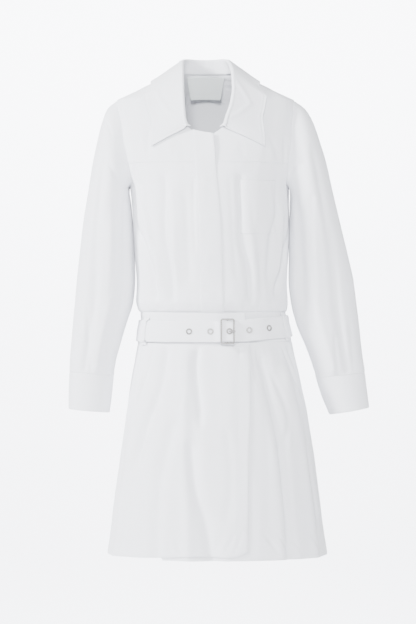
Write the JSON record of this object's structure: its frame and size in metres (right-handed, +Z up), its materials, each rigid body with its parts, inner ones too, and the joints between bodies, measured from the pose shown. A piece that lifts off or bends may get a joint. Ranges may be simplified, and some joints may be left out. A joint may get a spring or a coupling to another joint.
{
  "type": "shirt dress",
  "caption": "Long-sleeved shirt dress with a turned collar, covered placket, chest pocket, wrap-over flared skirt and an eyelet belt, hollow as worn.",
  "frame": {"origin": "midway between the two high shoulder points, where the wearer's shoulders carry the dress", "axes": "+Z up along the dress, -Y out of its front, +X to the wearer's left"},
  "size_m": [0.5761, 0.2907, 0.9505],
  "materials": {
    "cloth": "plain weave cotton, matt, crisp",
    "belt_cloth": "the same cloth, stiffened and stitched",
    "label": "woven tape, bare",
    "button": "pearly",
    "metal": "polished nickel"
  },
  "bodies": {
    "root": {"front_yoke_right": "cloth", "front_yoke_left": "cloth", "front_right": "cloth", "front_left": "cloth", "placket": "cloth", "back": "cloth", "collar": "cloth", "pocket": "cloth", "waistband": "cloth", "skirt_front_right": "cloth", "skirt_front_left": "cloth", "skirt_back": "cloth", "sleeve_right": "cloth", "sleeve_left": "cloth", "cuff_right": "cloth", "cuff_left": "cloth", "belt_loop_right": "cloth", "belt_loop_left": "cloth", "belt_strap": "belt_cloth", "neck_label": "label", "cuff_button_right": "button", "cuff_button_left": "button", "buckle_frame": "metal", "buckle_prong": "metal", "eyelet_1": "metal", "eyelet_2": "metal", "eyelet_3": "metal", "eyelet_4": "metal", "eyelet_5": "metal"}
  },
  "joints": []
}
